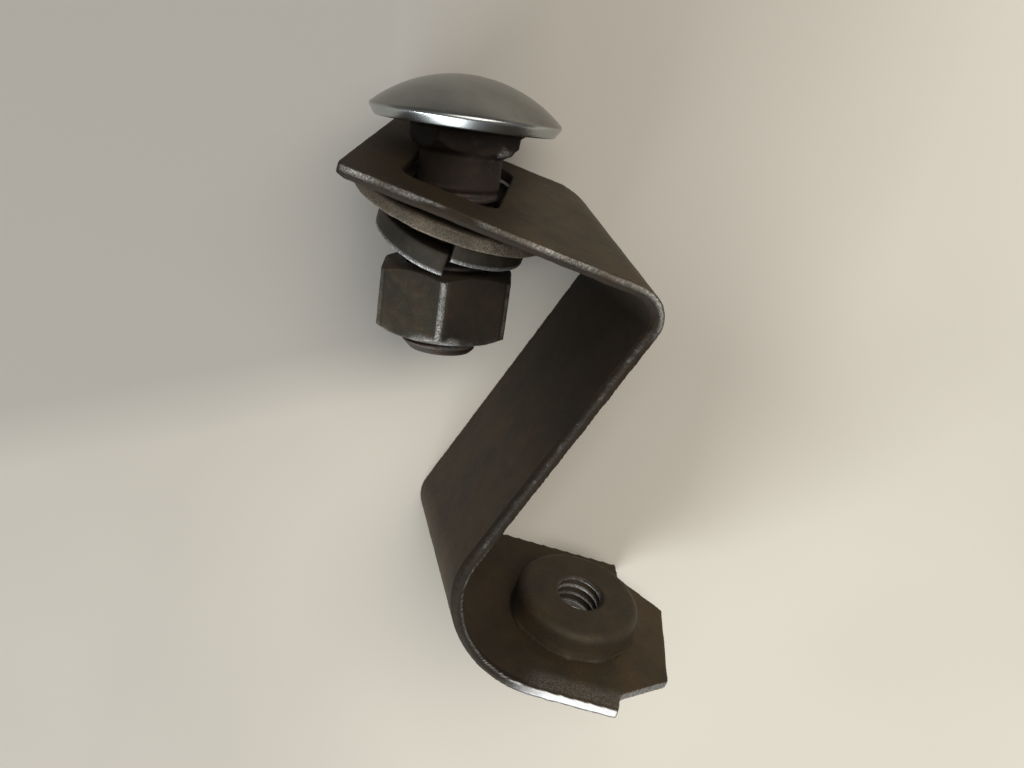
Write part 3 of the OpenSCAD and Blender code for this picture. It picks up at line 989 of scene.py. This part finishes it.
def paper():
    """Pale paper, lighter and warmer to the right with painted shade to the left, and a painted
    shadow to the left of the bracket beyond a slanting line.
    """
    material, nodes, links = node_tree("pale_paper")
    where = mm_coordinates(nodes, links)
    wide = noise_node(nodes, links, where, 0.012, 2, 0.5)
    fibre = noise_node(nodes, links, where, 1.4, 5, 0.7)
    split = nodes.new("ShaderNodeSeparateXYZ")
    links.new(where, split.inputs[0])
    x, y = split.outputs["X"], split.outputs["Y"]

    def slope(x_share, y_share, start):
        """0 to 1 across the sheet: start + x_share * x + y_share * y, cut off at both ends."""
        along_y = math_node(nodes, links, "MULTIPLY_ADD", y, y_share, c=start)
        return math_node(nodes, links, "MULTIPLY_ADD", x, x_share, True, along_y)

    # Painted shade: the sheet darker to the left, lighter and warmer to the right
    across = slope(0.009, 0.0, 0.5)
    colour = ramp(nodes, links, across, [(0.1, (0.47, 0.445, 0.40)), (0.9, (0.63, 0.595, 0.525))])
    mottle = ramp(nodes, links, wide, [(0.3, (0.93, 0.93, 0.93)), (0.7, (1.05, 1.05, 1.05))])
    colour = mix(nodes, links, 1.0, colour, mottle, blend="MULTIPLY")
    # A painted shadow, darkest to the left, beyond a slanting line left of the bracket
    past_shadow_line = slope(-0.054, 0.084, 0.12)
    to_left = slope(-0.037, -0.015, 0.2)
    painted_shadow = math_node(nodes, links, "MULTIPLY", past_shadow_line, to_left)
    colour = mix(nodes, links, painted_shadow, colour, (0.36, 0.345, 0.32))
    shader = nodes.new("ShaderNodeBsdfPrincipled")
    links.new(colour, shader.inputs["Base Color"])
    shader.inputs["Roughness"].default_value = 0.85
    shader.inputs["Specular IOR Level"].default_value = 0.2
    finish_surface(nodes, links, shader, fibre, 0.15, 0.1)
    return material


# ---------------------------------------------------------------- the pieces

SILVER = (0.42, 0.42, 0.42)
# Each steel's dark scale, brown scale, rust, share of rust, bare metal and roughness
STEELS = {
    "strip_steel": ((0.043, 0.034, 0.022), (0.078, 0.052, 0.026), (0.10, 0.054, 0.026),
                    0.25, (0.44, 0.44, 0.43), 0.52),
    "weld_nut_steel": ((0.038, 0.032, 0.023), (0.066, 0.047, 0.027), (0.09, 0.050, 0.026),
                       0.2, SILVER, 0.55),
    "bolt_steel": ((0.026, 0.023, 0.020), (0.045, 0.034, 0.026), (0.13, 0.060, 0.028),
                   0.5, SILVER, 0.55),
    "washer_steel": ((0.036, 0.031, 0.023), (0.066, 0.050, 0.033), (0.12, 0.080, 0.048),
                     0.5, (0.36, 0.31, 0.24), 0.5),
    "spring_steel": ((0.019, 0.017, 0.013), (0.034, 0.028, 0.019), (0.07, 0.045, 0.026),
                     0.35, SILVER, 0.55),
    "nut_steel": ((0.020, 0.019, 0.014), (0.040, 0.033, 0.021), (0.09, 0.050, 0.025),
                  0.5, (0.6, 0.6, 0.58), 0.50),
}
finishes = {name: steel(name, *look) for name, look in STEELS.items()}
finishes["cap_chrome"] = chrome("cap_chrome")

PIECES = [
    (make_bracket, "bracket", "bracket", "strip_steel"),
    (make_weld_nut, "bracket", "weld_nut", "weld_nut_steel"),
    (make_bolt, "bolt", "carriage_bolt", "bolt_steel"),
    (make_cap, "bolt", "head_cap", "cap_chrome"),
    (make_flat_washer, "flat_washer", "flat_washer", "washer_steel"),
    (make_lock_washer, "lock_washer", "lock_washer", "spring_steel"),
    (make_nut, "nut", "hex_nut", "nut_steel"),
]
for make, body, node, finish in PIECES:
    piece = make()
    piece.data.materials.clear()
    piece.data.materials.append(finishes[finish])
    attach(piece, body)
    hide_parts(node)

# ---------------------------------------------------------------- floor, light and camera

FLOOR_SIDE = 900.0
FLOOR_CELLS = 60


def make_floor():
    line = np.linspace(-FLOOR_SIDE / 2, FLOOR_SIDE / 2, FLOOR_CELLS + 1)
    x, y = np.meshgrid(line, line, indexing="ij")
    points = np.stack([x.ravel(), y.ravel(), np.zeros(x.size)], axis=1)
    row = FLOOR_CELLS + 1
    starts = [i * row + j for i in range(FLOOR_CELLS) for j in range(FLOOR_CELLS)]
    obj = new_object("floor_paper", points, [[k, k + row, k + row + 1, k + 1] for k in starts])
    shade_smooth(obj)
    obj.location.z = -0.05 * MM
    obj.data.materials.append(paper())
    return obj


floor = make_floor()


def area_light(name, position_m, size_m, power, colour):
    data = bpy.data.lights.new(name, "AREA")
    data.shape = "RECTANGLE"
    data.size, data.size_y = size_m
    data.energy = power
    data.color = colour
    light = bpy.data.objects.new(name, data)
    bpy.context.scene.collection.objects.link(light)
    light.location = position_m
    direction = LIT_POINT - Vector(position_m)
    light.rotation_euler = direction.to_track_quat("-Z", "Y").to_euler()


LIT_POINT = Vector((0, 0, 0.01))
area_light("window", (-0.18, -0.78, 0.34), (0.70, 0.30), 9.0, (0.93, 0.98, 1.0))
area_light("ceiling", (0.15, 0.35, 0.80), (0.7, 0.7), 6.5, (1.0, 0.95, 0.88))

world = bpy.data.worlds.new("room_light")
world.use_nodes = True
background = world.node_tree.nodes["Background"]
background.inputs["Color"].default_value = (0.92, 0.90, 0.87, 1)
background.inputs["Strength"].default_value = 0.18
bpy.context.scene.world = world

# Where the camera stands, in mm from the tip's foot on the floor, and how it is turned
EYE_FROM_TIP = vec(22.082, 6.862, 139.282)
VIEW_RIGHT = Vector((0.92849, 0.37078, -0.02080)).normalized()
VIEW_BACK = Vector((-0.06424, 0.21555, 0.97438)).normalized()
VIEW_UP = VIEW_BACK.cross(VIEW_RIGHT).normalized()

camera_data = bpy.data.cameras.new("camera")
camera_data.lens = 31.584
camera_data.sensor_width = 36.0
camera_data.clip_start = 0.005
camera = bpy.data.objects.new("camera", camera_data)
bpy.context.scene.collection.objects.link(camera)
eye = (TIP - STRIP_H * UP + EYE_FROM_TIP) * MM
camera.matrix_world = Matrix((
    (VIEW_RIGHT.x, VIEW_UP.x, VIEW_BACK.x, eye[0]),
    (VIEW_RIGHT.y, VIEW_UP.y, VIEW_BACK.y, eye[1]),
    (VIEW_RIGHT.z, VIEW_UP.z, VIEW_BACK.z, eye[2]),
    (0, 0, 0, 1),
))
bpy.context.scene.camera = camera
bpy.context.scene.view_settings.view_transform = "Standard"
